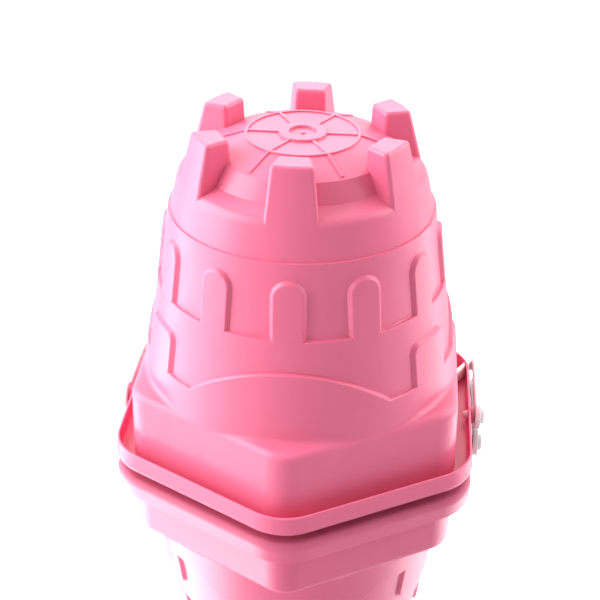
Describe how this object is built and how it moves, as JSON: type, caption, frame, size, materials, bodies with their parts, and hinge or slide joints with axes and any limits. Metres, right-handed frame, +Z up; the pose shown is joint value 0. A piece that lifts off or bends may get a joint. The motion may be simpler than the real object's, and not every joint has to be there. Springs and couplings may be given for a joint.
{
  "type": "sand bucket",
  "caption": "Castle-shaped sand bucket with turrets, a stepped round tower, a six-sided rim and a swinging bail handle, standing mouth down.",
  "frame": {"origin": "centre of the mouth, in the plane of the lip that the bucket stands on", "axes": "+Z up through the turrets; -Y towards the door arch and one corner of the six-sided block; +X along the handle's pivot axis; the handle lies folded back towards +Y"},
  "size_m": [0.1938, 0.2225, 0.17],
  "materials": {
    "bucket": "satin moulded polypropylene, pink",
    "handle": "satin moulded polypropylene, off-white",
    "pin": "satin moulded polypropylene, off-white"
  },
  "bodies": {
    "bucket": {"bucket_shell": "bucket", "pivot_pin_left": "pin", "pivot_pin_right": "pin"},
    "handle": {"carry_handle": "handle"}
  },
  "joints": [
    {"name": "handle_swing", "type": "hinge", "parent": "bucket", "child": "handle", "pos_m": [0, 0, 0.0087], "axis": [1, 0, 0], "range_deg": [-222, 42]}
  ]
}
